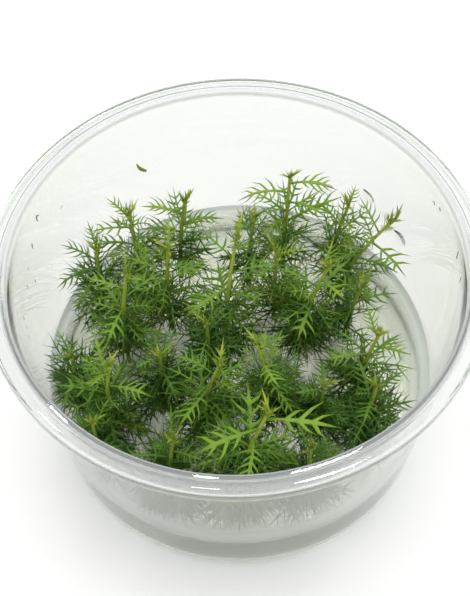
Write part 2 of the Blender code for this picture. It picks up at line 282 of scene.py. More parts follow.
# Cup: flange 100 mm across, skirt under it, slightly flared wall, rounded foot
cupLook = {
    "rim": 50.0, "height": 59.0, "wall": 0.9, "floor": 1.1, "foot": 43.95, "flare": 0.0297,
    "footRound": 4.6, "insideRound": 3.6, "flange": 1.3, "ridge": 47.3, "turns": 192,
    # radius and height under the foot, heights of the wall's rings, radii on the floor
    "underside": ((20.0, 0.35), (36.0, 0.35), (38.2, 0.3), (39.0, 0.0), (40.2, 0.0)),
    "wallHeights": (8, 14, 20, 26, 32, 38, 44, 50, 55), "floorRadii": (36.0, 20.0),
    # points of the inside corner's arc, and start, end and points of the foot's arc
    "floorSteps": 9, "footArc": (-86, 0, 10),
    # other arcs: steps out and up from a corner to the middle, radius, start, end, points
    "neckArc": (0.5, -1.9, 0.6, 180, 100, 4),
    "rimArcs": (
        (-1.1, -1.6, 0.3, 80, 0, 3),
        (-0.4, -2.1, 0.4, 200, 350, 7),
        (-0.55, -0.55, 0.55, 0, 90, 6),
    ),
    "lipArc": (0.75, -1.0, 0.68, 90, 180, 6), "skirtCorner": (-1.1, -1.3),
    "ridgeSteps": ((0.4, 0.0), (0.15, -0.06), (0.0, -0.3), (-0.5, -0.38)),
    "finish": {
        "colour": (0.952, 0.962, 0.940), "roughness": 0.008, "haze": 0.03,
        "hazeScale": 70.0, "rippleScale": 160.0, "rippleStretch": (1.0, 1.0, 0.25),
        "ripple": 0.05, "ior": 1.49, "clear": 0.985, "shadow": (0.955, 0.957, 0.95),
        "tint": (0.80, 0.82, 0.76), "density": 100.0,
        # the rounded foot; the whole rim and its inner half, milky haze greyed with painted shade; its
        # inner lip; and its outer edge, a painted shade line
        "rings": (
            ((39.6, 41.0), (8.0, 5.5), 0.38, (0.82, 0.86, 0.81), 0.4),
            # the whole rim and its inner half: milky haze greyed with painted shade, for the dark
            # surroundings seen through the rim
            ((44.0, 44.1), (57.4, 58.0), 0.15, (0.28, 0.31, 0.35), 0.25),
            ((47.5, 47.0), (57.4, 58.0), 0.26, (0.42, 0.45, 0.45), 0.25),
            ((46.3, 46.0), (57.0, 57.8), 0.42, (0.84, 0.87, 0.85), 0.35),
            # outer edge: a painted shade line, as dark as the surroundings refracted there
            ((49.68, 49.83), (58.4, 58.6), 0.32, (0.10, 0.12, 0.11), 0.25),
        ),
    },
}


def innerRadius(height):
    return cupLook["foot"] + cupLook["flare"] * height


def arcPoints(corner, out, up, radius, start, end, count):
    turns = [math.radians(start + (end - start) * step / (count - 1)) for step in range(count)]
    across, height = corner[0] + out, corner[1] + up
    return [(across + radius * math.cos(turn), height + radius * math.sin(turn)) for turn in turns]


# edges of turned pieces look sharp from this angle on
turnedSmooth = 35


# A disc is pulled along the profile ring by ring, so its cap ends as the last ring's disc
def turnPiece(name, profile, turns):
    startClean()
    radius, height = profile[0]
    bpy.ops.mesh.primitive_circle_add(
        vertices=turns, radius=radius * mm, fill_type="NGON", location=(0, 0, height * mm)
    )
    piece = bpy.context.object
    piece.name = name
    bpy.ops.object.mode_set(mode="EDIT")
    for nextRadius, nextHeight in profile[1:]:
        pull((0, 0, (nextHeight - height) * mm))
        grow = nextRadius / radius
        bpy.ops.transform.resize(value=(grow, grow, 1), center_override=(0, 0, 0))
        radius, height = nextRadius, nextHeight
    bpy.ops.mesh.select_all(action="SELECT")
    bpy.ops.mesh.normals_make_consistent()
    bpy.ops.object.mode_set(mode="OBJECT")
    bpy.ops.object.transform_apply()
    bpy.ops.object.shade_smooth_by_angle(angle=math.radians(turnedSmooth))
    return piece


def cupProfile():
    look = cupLook
    top, rim, wall, floor = look["height"], look["rim"], look["wall"], look["floor"]
    foot, bend = look["footRound"], look["insideRound"]
    neck = innerRadius(top - look["flange"])
    points = list(look["underside"])
    points += arcPoints((innerRadius(foot) + wall, foot), -foot, 0, foot, *look["footArc"])
    points += [(innerRadius(height) + wall, height) for height in look["wallHeights"]]
    points += arcPoints((neck + wall, top), *look["neckArc"])
    points += [(rim + look["skirtCorner"][0], top + look["skirtCorner"][1])]
    for arc in look["rimArcs"]:
        points += arcPoints((rim, top), *arc)
    points += [(look["ridge"] + out, top + up) for out, up in look["ridgeSteps"]]
    points += arcPoints((innerRadius(top), top), *look["lipArc"])
    points += [(innerRadius(height), height) for height in reversed(look["wallHeights"])]
    points += arcPoints((innerRadius(foot), floor), -bend, bend, bend, 0, -90, look["floorSteps"])
    points += [(radius, floor) for radius in look["floorRadii"]]
    return points


cupShell = turnPiece("cup_shell", cupProfile(), cupLook["turns"])
finishPiece(cupShell, clearFinish("clear_plastic", cupLook["finish"]), "cup_plastic", "cup")
print("cup turned")


# Gel: fills the foot of the cup, touches its wall and creeps up it a little
gelLook = {
    "top": 18.6, "creep": 0.9, "creepWidth": 2.2, "creepSteps": 8, "creepCurve": 2.4,
    "level": 1.0, "wallHeights": (8, 13), "touch": 0.12, "turns": 160,
    "finish": {
        "colour": (0.985, 0.99, 0.98), "roughness": 0.0, "haze": 0.03, "hazeScale": 50.0,
        "rippleScale": 90.0, "rippleStretch": (1.0, 1.0, 1.0), "ripple": 0.12, "ior": 1.335,
        "clear": 1.0, "shadow": (0.885, 0.89, 0.87), "tint": (0.675, 0.70, 0.50),
        "density": 14.0,
        # where the gel meets the wall
        "rings": (
            ((40.5, 43.0), (18.1, 18.5), 0.45, (0.74, 0.78, 0.79), 0.3),
        ),
    },
}


def gelProfile():
    look = gelLook
    top, touch, creep = look["top"], look["touch"], look["creep"]
    foot, floor, bend = cupLook["footRound"], cupLook["floor"], cupLook["insideRound"]
    corner = (innerRadius(foot), floor)
    points = [(radius, floor - touch) for radius in reversed(cupLook["floorRadii"])]
    points += arcPoints(corner, -bend, bend, bend + touch, -90, 0, cupLook["floorSteps"])
    points += [(innerRadius(height) + touch, height) for height in (*look["wallHeights"], top + creep)]
    edge = innerRadius(top)
    for step in range(1, look["creepSteps"]):
        share = step / look["creepSteps"]
        height = top + creep * (1 - share) ** look["creepCurve"]
        points.append((edge - look["creepWidth"] * share, height))
    points.append((edge - look["creepWidth"] - look["level"], top))
    points += [(radius, top) for radius in cupLook["floorRadii"]]
    return points


gelBody = turnPiece("gel_body", gelProfile(), gelLook["turns"])
finishPiece(gelBody, clearFinish("clear_gel", gelLook["finish"]), "clear_gel", "culture_gel")
print("gel poured")


# Plants: the same shoots as the solids, by name, foot (x, y), tip (x, y, z), leaves, longest leaf and
# the first leaf's bearing
shoots = (
    ("shoot_centre_tall", (-3.5, 1.0), (0.4, 10.8, 51.0), 9, 13.0, 40),
    ("shoot_back_right_tall", (12.0, 26.5), (12.9, 29.3, 47.5), 9, 12.5, 300),
    ("shoot_right_leaning", (25.0, 17.0), (36.6, 20.8, 41.5), 9, 12.0, 20),
    ("shoot_front_centre", (-1.0, -34.0), (5.2, -30.3, 49.5), 9, 14.0, 100),
    ("shoot_left_yellow", (-26.5, 0.6), (-23.1, 3.1, 48.5), 9, 12.5, 75),
    ("shoot_left_front", (-29.0, -19.0), (-26.1, -17.1, 45.5), 9, 12.5, 10),
    ("shoot_back_left_tall", (-14.0, 25.0), (-11.2, 26.0, 44.0), 8, 11.5, 150),
    ("shoot_left_upper", (-32.4, 13.4), (-31.6, 16.2, 40.5), 8, 12.0, 190),
    ("shoot_left_mid", (-16.4, 9.6), (-14.8, 11.3, 46.0), 8, 12.0, 330),
    ("shoot_right_back", (15.2, 4.2), (19.8, 5.3, 45.5), 9, 13.0, 200),
    ("shoot_centre_left", (-8.7, -18.6), (-3.7, -17.8, 46.5), 9, 12.5, 60),
    ("shoot_centre_young", (6.8, -16.0), (3.6, -13.2, 45.5), 8, 11.5, 250),
    ("shoot_right_front_bright", (26.0, -11.6), (29.8, -8.5, 40.5), 8, 12.0, 0),
    ("shoot_back_left_edge", (-23.8, 22.0), (-24.1, 24.0, 42.5), 8, 11.0, 120),
    ("shoot_right_upper", (24.0, 26.0), (26.8, 26.8, 40.0), 7, 11.0, 80),
    ("shoot_right_inner", (8.8, 11.4), (9.0, 12.8, 42.0), 6, 11.5, 170),
    ("shoot_right_mid", (25.6, 4.6), (27.6, 4.2, 39.5), 7, 11.0, 310),
    ("shoot_right_front_dark", (26.6, -22.2), (28.0, -20.0, 38.0), 8, 12.5, 280),
    ("shoot_left_wall", (-36.6, -10.2), (-35.8, -9.6, 36.5), 7, 11.5, 140),
    ("shoot_front_left_dark", (-30.4, -27.2), (-30.2, -25.6, 37.5), 7, 11.0, 220),
    ("shoot_front_left_low", (-15.5, -33.5), (-13.4, -31.1, 40.5), 8, 12.0, 350),
    ("shoot_front_right_low", (13.0, -35.5), (13.6, -33.2, 38.5), 8, 11.5, 20),
    ("shoot_centre_low", (-17.4, -11.9), (-16.6, -11.7, 39.5), 8, 11.5, 110),
    ("shoot_middle", (-6.6, -5.5), (-6.8, -4.6, 40.5), 6, 11.0, 200),
    ("shoot_right_low", (17.0, -20.0), (17.4, -18.6, 37.0), 6, 11.5, 30),
    ("shoot_back_mid", (2.8, 21.8), (4.6, 23.0, 41.0), 6, 10.5, 30),
    ("shoot_back_left_low", (-21.6, 12.6), (-20.9, 12.4, 37.5), 6, 10.0, 270),
)

# leaves that stand out, by number from the foot: (bearing, lift, droop, length)
spreadingLeaves = {
    "shoot_back_right_tall": {
        3: (8, 22, 14, 15.5),
        4: (150, 26, 36, 10.0),
        5: (335, 26, 52, 11.0),
        6: (186, 32, 64, 13.0),
        7: (350, 28, 74, 12.0),
    },
    "shoot_left_upper": {4: (193, 8, 92, 14.0), 6: (100, 46, 30, 8.0)},
    "shoot_right_leaning": {3: (338, 10, 40, 11.0), 5: (310, 10, 50, 12.5), 6: (128, 48, 30, 10.0)},
    "shoot_back_left_edge": {5: (196, 30, 50, 10.5), 6: (150, 52, 20, 8.0)},
    "shoot_back_left_tall": {4: (8, 24, 44, 10.5), 5: (172, 34, 44, 10.5)},
    "shoot_front_centre": {
        4: (88, 26, 24, 14.0),
        5: (262, 20, 30, 11.0),
        6: (202, 18, 34, 15.0),
        7: (350, 18, 30, 15.0),
    },
}

# how the solids' stems bend and how their leaves are spaced, sized and kept apart
growLook = {
    "gap": 0.3,
    "wallClearance": 0.5,
    "topLimit": 57.6,
    # stem
    "stemHalfWidth": 0.45, "stemLean": 0.2, "stemBend": 0.62,
    # leaf, with stations of share of length and share of half width
    "leafThick": 0.5, "leafClearance": 0.2, "leafHalfWidth": 0.24, "slabStart": 0.4,
    "slabStations": ((0.3, 0.95), (0.6, 1.0), (0.85, 0.7), (1.03, 0.05)),
    "nodeShare": 0.12,
    # places along the stem and round it
    "firstLeaf": 0.12, "lastLeaf": 0.92, "goldenAngle": 137.5, "turnSpread": 14,
    # rise at the foot of a leaf, and how far it bends down again
    "lift": 8, "liftGain": 60, "liftCurve": 2.2, "liftSpread": 7,
    "droop": 46, "droopCurve": 3, "droopSpread": 8, "rollSpread": 25,
    # sizes as shares of the longest leaf
    "lowSize": 0.78, "fullFrom": 0.45, "topLoss": 0.62, "topCurve": 1.6, "sizeRange": (0.92, 1.05),
    # what is tried when a leaf doesn't fit
    "shrinks": (1.0, 0.86, 0.72, 0.58, 0.45),
    "turns": (0, 14, -14, 28, -28, 45, -45, 70, -70),
    "lifts": (0, 12, -12, 26),
    "seed": 31,
}


def stemAt(shoot, share):
    foot, tip = shoot[1], shoot[2]
    low = Vector((foot[0], foot[1], gelLook["top"] + growLook["gap"]))
    high = Vector(tip)
    bend = low.lerp(high, growLook["stemLean"])
    bend.z = low.z + growLook["stemBend"] * (high.z - low.z)
    return low * (1 - share) ** 2 + bend * (2 * share * (1 - share)) + high * share ** 2


# rows of (share of length, sideways, off the blade), all in leaf lengths, onto the arched leaf
def bendPoints(leaf, points):
    root, bearing, lift, droop, length, roll = leaf
    turn = math.radians(bearing)
    start = math.radians(lift)
    bow = math.radians(droop)
    # a straight leaf gets a hair of bow, because the arc is worked out from it
    if abs(bow) < 0.01:
        bow = 0.01
    along = points[:, 0]
    here = start - bow * along
    forward = length / bow * (math.sin(start) - np.sin(here))
    up = length / bow * (np.cos(here) - math.cos(start))
    heading = np.array((math.cos(turn), math.sin(turn), 0.0))
    across = np.array((-math.sin(turn), math.cos(turn), 0.0))
    upward = np.array((0.0, 0.0, 1.0))
    normal = np.outer(np.cos(here), upward) - np.outer(np.sin(here), heading)
    tilt = math.radians(roll)
    flat = across * math.cos(tilt) + normal * math.sin(tilt)
    face = normal * math.cos(tilt) - across * math.sin(tilt)
    spine = np.array(root) + np.outer(forward, heading) + np.outer(up, upward)
    side = points[:, 1:2] * length
    above = points[:, 2:3] * length
    return spine + flat * side + face * above


def tubeFaces(rings):
    faces = []
    for ring in range(rings - 1):
        for corner in range(4):
            here = ring * 4 + corner
            beside = ring * 4 + (corner + 1) % 4
            faces.append((here, beside, beside + 4, here + 4))
    return faces


# the space that a leaf keeps free of its neighbours
def leafSlab(leaf, start=0.0):
    look = growLook
    length = leaf[4]
    half = (look["leafThick"] / 2 + look["leafClearance"]) / length
    stations = ((start, look["slabStart"]), *look["slabStations"])
    rows = []
    for along, share in stations:
        reach = share * look["leafHalfWidth"] + look["leafClearance"] / length
        rows += [(along, -reach, -half), (along, reach, -half), (along, reach, half), (along, -reach, half)]
    return bendPoints(leaf, np.array(rows)), tubeFaces(len(stations))


def stemSlab(shoot):
    reach = growLook["stemHalfWidth"] + growLook["gap"]
    rings = 6
    points = []
    for step in range(rings):
        spot = stemAt(shoot, step / (rings - 1))
        for x, y in ((-1, -1), (1, -1), (1, 1), (-1, 1)):
            points.append(spot + Vector((x * reach, y * reach, 0.0)))
    return points, tubeFaces(rings)


def treeOf(slabs):
    points = []
    faces = []
    for slabPoints, slabFaces in slabs:
        base = len(points)
        points.extend(Vector(point) for point in slabPoints)
        faces.extend(tuple(base + index for index in face) for face in slabFaces)
    return BVHTree.FromPolygons(points, faces)


def insideCup(points, clearance, top):
    low = gelLook["top"] + growLook["gap"]
    radius = np.hypot(points[:, 0], points[:, 1])
    room = innerRadius(points[:, 2]) - clearance
    return points[:, 2].min() >= low and points[:, 2].max() <= top and bool((radius <= room).all())


def nudges():
    turns, lifts = growLook["turns"], growLook["lifts"]
    return [(turn, lift, shrink) for shrink in growLook["shrinks"] for turn in turns for lift in lifts]


def settle(leaf, others, own):
    root, bearing, lift, droop, length, roll = leaf
    for turn, raised, shrink in nudges():
        trial = (root, bearing + turn, lift + raised, droop, length * shrink, roll)
        slab = leafSlab(trial)
        if not insideCup(slab[0], growLook["wallClearance"], growLook["topLimit"]):
            continue
        if others.overlap(treeOf([slab])):
            continue
        if not own.overlap(treeOf([leafSlab(trial, growLook["nodeShare"])])):
            return trial
    return None


def about(chance, spread):
    return chance.uniform(-spread, spread)


def wantedLeaves(shoot, chance):
    look = growLook
    count, longest, first = shoot[3:]
    special = spreadingLeaves.get(shoot[0], {})
    low, full = look["lowSize"], look["fullFrom"]
    for number in range(count):
        level = (number + 0.5) / count
        share = look["firstLeaf"] + (look["lastLeaf"] - look["firstLeaf"]) * number / (count - 2)
        if number == count - 1:
            share = 1.0
        bearing = first + look["goldenAngle"] * number + about(chance, look["turnSpread"])
        lift = look["lift"] + look["liftGain"] * level ** look["liftCurve"]
        lift += about(chance, look["liftSpread"])
        droop = look["droop"] * (1 - level ** look["droopCurve"]) + about(chance, look["droopSpread"])
        above = max(0.0, (level - full) / (1 - full))
        size = low + (1 - low) * min(1.0, level / full) - look["topLoss"] * above ** look["topCurve"]
        length = longest * size * chance.uniform(*look["sizeRange"])
        roll = about(chance, look["rollSpread"])
        if number in special:
            bearing, lift, droop, length = special[number]
            roll = 0.0
        yield share, (stemAt(shoot, share), bearing, lift, droop, length, roll)


def growAll():
    stems = {shoot[0]: stemSlab(shoot) for shoot in shoots}
    grown = {}
    slabs = []
    for index, shoot in enumerate(shoots):
        chance = random.Random(growLook["seed"] + index)
        tree = treeOf([slab for name, slab in stems.items() if name != shoot[0]] + slabs)
        kept = []
        for share, leaf in wantedLeaves(shoot, chance):
            own = treeOf([leafSlab(other, growLook["nodeShare"]) for place, other in kept])
            settled = settle(leaf, tree, own)
            if settled:
                kept.append((share, settled))
        slabs.extend(leafSlab(leaf) for share, leaf in kept)
        grown[shoot[0]] = kept
    return grown


# Leaf forms, drawn at a length of 1: bare stalk, comb of lobes, then a long point
leafForms = {
    "broad": {
        "stalk": 0.24, "stalkWidth": 0.017, "bladeWidth": 0.030, "pairs": (3, 4, 4, 4),
        "lobe": 0.38, "lobeBase": 0.36, "spread": 58, "curl": 22, "thick": 0.014,
        "tip": 0.24, "seed": 3,
    },
    "comb": {
        "stalk": 0.24, "stalkWidth": 0.016, "bladeWidth": 0.020, "pairs": (3, 3, 4, 4),
        "lobe": 0.42, "lobeBase": 0.27, "spread": 62, "curl": 28, "thick": 0.014,
        "tip": 0.22, "seed": 17,
    },
    "thread": {
        "stalk": 0.14, "stalkWidth": 0.014, "bladeWidth": 0.014, "pairs": (3, 4, 4),
        "lobe": 0.42, "lobeBase": 0.16, "spread": 60, "curl": 0, "thick": 0.014,
        "tip": 0.22, "seed": 29,
    },
    "young": {
        "stalk": 0.22, "stalkWidth": 0.034, "bladeWidth": 0.042, "pairs": (1, 2, 2),
        "lobe": 0.36, "lobeBase": 0.34, "spread": 34, "curl": 0, "thick": 0.034,
        "tip": 0.36, "seed": 41,
    },
}


# what the forms share: the blade's swell, and each lobe's reach, spread and bend
lobeLook = {
    "gap": 0.1, "narrow": 0.8, "swell": 0.75, "thinning": 0.5, "shortest": 0.55,
    "reach": (0.68, 1.15), "spreadLoss": 14, "spreadChance": 12, "rise": (-0.1, 0.4),
    "bendAt": 0.5, "bendWidth": 0.8, "bendRise": 0.4, "curl": (0.4, 1.3), "edge": 0.6,
}


def modelLeaf(look, pairs, chance):
    lobes = lobeLook
    stalk, width, thick = look["stalk"], look["stalkWidth"], look["thick"]
    half = stalk / 2
    startClean()
    bpy.ops.mesh.primitive_cube_add(size=1, location=(half / 2, 0, 0), scale=(half, 2 * width, 2 * thick))
    leaf = startEdit()
    pickFaces(leaf, lambda middle, normal: normal.x > 0.9)
    pitch = (1 - stalk - look["tip"]) / pairs
    narrow = width * lobes["narrow"]
    stations = [(stalk, width)]
    bases = []
    for number in range(pairs):
        begin = stalk + pitch * (number + lobes["gap"])
        end = begin + pitch * look["lobeBase"]
        bases.append(((begin + end) / 2, number))
        for spot in (begin, end):
            swell = math.sin(math.pi * min(1.0, (spot - stalk) / (1 - stalk)) ** lobes["swell"])
            stations.append((spot, narrow + (look["bladeWidth"] - narrow) * swell))
    along = half
    for spot, blade in stations:
        pull((spot - along, 0, 0))
        thin = look["thick"] * (1 - lobes["thinning"] * spot)
        bpy.ops.transform.resize(value=(1, blade / width, thin / thick), center_override=(spot, 0, 0))
        along, width, thick = spot, blade, thin
    pull((1 - along, 0, 0))
    bpy.ops.mesh.merge(type="COLLAPSE")
    for spot, number in bases:
        for side in (-1, 1):
            middle = pickFaces(leaf, lambda middle, normal: (
                abs(middle.x - spot) < 0.01
                and abs(middle.y) < look["bladeWidth"] * 1.05
                and normal.y * side > 0.5
            ))[0]
            level = (number + 0.5) / pairs
            swell = math.sin(math.pi * level ** lobes["swell"])
            reach = look["lobe"] * (lobes["shortest"] + (1 - lobes["shortest"]) * swell)
            reach *= chance.uniform(*lobes["reach"])
            spread = look["spread"] - lobes["spreadLoss"] * level + about(chance, lobes["spreadChance"])
            turn = math.radians(spread)
            rise = chance.uniform(*lobes["rise"])
            # a curled lobe has a bend half way out, a straight one goes to its point at once
            if look["curl"]:
                out = Vector((math.cos(turn), side * math.sin(turn), rise * lobes["bendRise"]))
                out *= reach * lobes["bendAt"]
                pull(out)
                bpy.ops.transform.resize(value=[lobes["bendWidth"]] * 3, center_override=middle + out)
                turn -= math.radians(look["curl"] * chance.uniform(*lobes["curl"]))
                reach *= 1 - lobes["bendAt"]
            pull(Vector((math.cos(turn), side * math.sin(turn), rise)) * reach)
            bpy.ops.mesh.merge(type="COLLAPSE")
    points, faces = takeMesh(leaf)
    edge = (np.abs(points[:, 1]) - look["bladeWidth"]) / (lobes["edge"] * look["lobe"])
    return points, faces, np.clip(edge, 0, 1)


leafModels = {}
for form, look in leafForms.items():
    chance = random.Random(look["seed"])
    leafModels[form] = [modelLeaf(look, pairs, chance) for pairs in look["pairs"]]
print("leaves modelled:", {form: len(models[0][1]) for form, models in leafModels.items()})


# Stem: a round rod with a rounded end, drawn one high and one in radius
stemLook = {
    "sides": 8, "cuts": 15, "roundEnd": (0.4, 0.012), "footRadius": 0.52, "tipRadius": 0.34,
    # the part of the rod that stands in the gel, and its real depth
    "sunk": 0.12, "depth": 5.0, "over": 1.02, "swell": 0.16, "swellReach": 0.03,
}


def modelStem():
    startClean()
    look = stemLook
    bpy.ops.mesh.primitive_cylinder_add(vertices=look["sides"], radius=1, depth=1, location=(0, 0, 0.5))
    stem = startEdit()
    bpy.ops.mesh.select_all(action="DESELECT")
    work = bmesh.from_edit_mesh(stem.data)
    for edge in work.edges:
        if abs(edge.verts[0].co.z - edge.verts[1].co.z) > 0.5:
            edge.select_set(True)
    bmesh.update_edit_mesh(stem.data)
    bpy.ops.mesh.subdivide(number_cuts=look["cuts"])
    pickFaces(stem, lambda middle, normal: normal.z > 0.9)
    bpy.ops.mesh.inset(thickness=look["roundEnd"][0], depth=look["roundEnd"][1])
    return takeMesh(stem)


stemModel = modelStem()


def bendStem(shoot, shares):
    points, faces = stemModel
    look = stemLook
    spots = []
    for x, y, z in points:
        height = z * (1 + look["sunk"]) - look["sunk"]
        share = max(0.0, height)
        depth = min(0.0, height) / look["sunk"] * look["depth"]
        spot = stemAt(shoot, min(share, look["over"])) + Vector((0, 0, depth))
        radius = look["footRadius"] + (look["tipRadius"] - look["footRadius"]) * share
        near = min(abs(share - other) for other in shares)
        radius *= 1 + look["swell"] * max(0.0, 1 - near / look["swellReach"])
        spots.append((spot.x + x * radius, spot.y + y * radius, spot.z))
    return np.array(spots), faces, np.clip(points[:, 2], 0, 1)


# Many leaves per shoot. A leaf's place on the stem is a share of the stem, and its size a share of
# the shoot's longest leaf.
foliageLook = {
    # the solids' own leaves; age is (all, more towards the tip, more towards the back)
    "own": {"combBelow": 0.3, "broad": 0.65, "broadLoss": 0.35, "age": (0.55, 0.5, 0.08), "tipGain": 0.25},
    # combs between them, which leave the top of a tall shoot free; age as above
    "comb": {
        "number": 10, "places": (0.12, 0.86), "tallPlaces": (0.12, 0.6), "tallFrom": 46.8,
        "size": (0.6, 0.95), "topLoss": 0.45, "topFrom": 0.5, "lift": 6, "liftGain": 58,
        "liftChance": (-10, 14), "droop": (10, 50), "roll": (-40, 40),
        "age": (0.45, 0.65, 0.1),
    },
    # a low thicket of threads, thinner at the back; age is (youngest, oldest, older at the back); their
    # dark colour is partly older leaves and partly painted shade deep in the thicket
    "thread": {
        "number": 84, "backNumber": 36, "lowest": 0.02, "highest": 0.6, "backLoss": 0.14,
        "crowding": 1.15, "lift": (-2, 50), "droop": (0, 55), "size": (0.6, 1.05),
        "roll": (-80, 80), "age": (0.2, 0.7, 0.3), "tipGain": 0.2,
    },
    # more threads towards one side: bearing and number; those towards the front (bearing 270) are partly
    # low foliage and partly painted shade, a dark thicket put where the front wall shows shade and
    # reflection
    "extra": {
        "shoot_front_left_low": (270, 150), "shoot_front_centre": (270, 100),
        "shoot_front_right_low": (270, 14), "shoot_right_back": (268, 60),
        "shoot_right_low": (100, 50), "shoot_centre_young": (45, 30),
    },
    "extraThread": {
        "places": (0.02, 0.32), "turn": 65, "lift": (0, 36), "droop": (0, 60),
        "size": (0.5, 0.9), "roll": (-80, 80), "age": (0.2, 0.7),
    },
    # a tuft of young leaves at the tip, sized in millimetres
    "young": {
        "number": 9, "places": (0.93, 1.0), "lift": (42, 84), "droop": (-25, 30),
        "size": (2.0, 4.6), "roll": (-30, 30), "age": 0.85, "ageChance": (-0.1, 0.15),
    },
    # sides that stay almost bare: bearing and the chance that a leaf there is left out
    "bare": {
        "shoot_right_mid": (0, 0.8), "shoot_right_front_bright": (10, 0.75),
        "shoot_right_upper": (120, 0.6),
    },
    "bareTurn": 75,
    # shoots behind this line are lighter and thinner, fully so this much farther back
    "backFrom": -4, "backDepth": 18,
    # sideways bend, distance to the wall, and how far a leaf may leave its solid's box
    "sweep": 0.16, "wallGap": 0.25, "leave": 2.0,
    # what is tried when a leaf doesn't fit
    "shrinks": (1.0, 0.85, 0.7, 0.55, 0.42), "raises": (0, 14, 28),
    "seed": 211,
    # ripeness and painted light: bright shoots are the tall ones and those listed; their brightness is
    # partly their own riper colour and partly painted light, and the darker shoots are partly painted shade
    "brightAge": 0.69, "darkAge": 0.46, "brightFrom": 42,
    "lowButBright": (
        "shoot_right_leaning", "shoot_right_inner", "shoot_right_front_bright", "shoot_right_upper",
    ),
    # a leaf ripens towards its tip, and only threads have hues high enough to be dead
    "leafRipening": 0.12, "highestHue": 0.97,
    # a stem is ripe at its tip and pale at its foot
    "stemAge": (0.85, 0.5), "footAge": (0.85, 5.0), "stemHue": 0.1,
    # shoots taller than this have the bright finish, a copy with brighter light through the leaf: partly
    # the tall shoots' own colour, partly painted light; the dark copy on lower shoots is partly painted
    # shade
    "brightFinishFrom": 44.9,
}

# where a leaf is tried for room: along its middle and at its sides
trialPoints = np.array((
    *((along, 0.0, 0.0) for along in (0.2, 0.5, 0.8, 1.0)),
    *((along, side, 0.0) for along, side in ((0.5, -0.22), (0.5, 0.22), (0.75, -0.16), (0.75, 0.16))),
))


# bright for the tall and listed shoots, partly own colour and partly painted light; dark for the rest,
# partly painted shade
def ripenessAndLight(shoot):
    bright = shoot[2][2] > foliageLook["brightFrom"] or shoot[0] in foliageLook["lowButBright"]
    return foliageLook["brightAge"] if bright else foliageLook["darkAge"]


def fits(leaf, box):
    points = bendPoints(leaf, trialPoints)
    if not insideCup(points, foliageLook["wallGap"], growLook["topLimit"]):
        return False
    low, high = box
    leave = foliageLook["leave"]
    return bool((points.min(axis=0) > low - leave).all() and (points.max(axis=0) < high + leave).all())


def squeeze(leaf, box):
    root, bearing, lift, droop, length, roll = leaf
    for shrink in foliageLook["shrinks"]:
        for raised in foliageLook["raises"]:
            trial = (root, bearing, lift + raised, droop, length * shrink, roll)
            if fits(trial, box):
                return trial
    return None


def leftOut(name, bearing, chance):
    side, share = foliageLook["bare"].get(name, (0, 0))
    turned = abs((bearing - side + 180) % 360 - 180)
    return turned < foliageLook["bareTurn"] and chance.random() < share


def ageOf(look, ripeAndLight, share, behind):
    base, towardsTip, towardsBack = look["age"]
    return ripeAndLight * (base + towardsTip * share) + towardsBack * behind


def strayLeaf(shoot, share, bearing, unit, look, chance):
    return (
        stemAt(shoot, share),
        bearing,
        chance.uniform(*look["lift"]),
        chance.uniform(*look["droop"]),
        unit * chance.uniform(*look["size"]),
        chance.uniform(*look["roll"]),
    )


def ownLeaves(own, ripeAndLight, behind, chance):
    look = foliageLook["own"]
    for share, leaf in own:
        high = share > look["combBelow"]
        form = "broad" if high and chance.random() < look["broad"] - look["broadLoss"] * behind else "comb"
        age = ageOf(look, ripeAndLight, share, behind)
        if share == 1.0:
            form = "young"
            age += look["tipGain"]
        yield form, leaf, age


def combLeaves(shoot, ripeAndLight, behind, chance):
    look = foliageLook["comb"]
    for number in range(look["number"]):
        share = chance.uniform(*look["tallPlaces" if shoot[2][2] > look["tallFrom"] else "places"])
        size = chance.uniform(*look["size"])
        size *= 1 - look["topLoss"] * max(0.0, share - look["topFrom"]) / (1 - look["topFrom"])
        lift = look["lift"] + look["liftGain"] * share ** 2 + chance.uniform(*look["liftChance"])
        bearing = chance.uniform(0, 360)
        droop = chance.uniform(*look["droop"])
        leaf = (stemAt(shoot, share), bearing, lift, droop, shoot[4] * size, chance.uniform(*look["roll"]))
        if not leftOut(shoot[0], bearing, chance):
            yield "comb", leaf, ageOf(look, ripeAndLight, share, behind)


def threadLeaves(shoot, ripeAndLight, behind, chance):
    look = foliageLook["thread"]
    youngest, oldest, olderBehind = look["age"]
    for number in range(round(look["number"] + (look["backNumber"] - look["number"]) * behind)):
        highest = look["highest"] - look["backLoss"] * behind
        share = chance.uniform(look["lowest"], highest) ** look["crowding"]
        leaf = strayLeaf(shoot, share, chance.uniform(0, 360), shoot[4], look, chance)
        if not leftOut(shoot[0], leaf[1], chance):
            # low threads are dark: partly older leaves, partly painted shade deep in the thicket
            age = ripeAndLight * chance.uniform(youngest, oldest + olderBehind * behind) + look["tipGain"] * share
            yield "thread", leaf, age
    # threads towards one side; the front ones are partly painted shade and reflection for the front wall
    look = foliageLook["extraThread"]
    side, count = foliageLook["extra"].get(shoot[0], (0, 0))
    for number in range(count):
        share = chance.uniform(*look["places"])
        leaf = strayLeaf(shoot, share, side + about(chance, look["turn"]), shoot[4], look, chance)
        yield "thread", leaf, ripeAndLight * chance.uniform(*look["age"])


def youngLeaves(shoot, chance):
    look = foliageLook["young"]
    for number in range(look["number"]):
        share = chance.uniform(*look["places"])
        leaf = strayLeaf(shoot, share, shoot[5] + growLook["goldenAngle"] * number, 1.0, look, chance)
        yield "young", leaf, look["age"] + chance.uniform(*look["ageChance"])


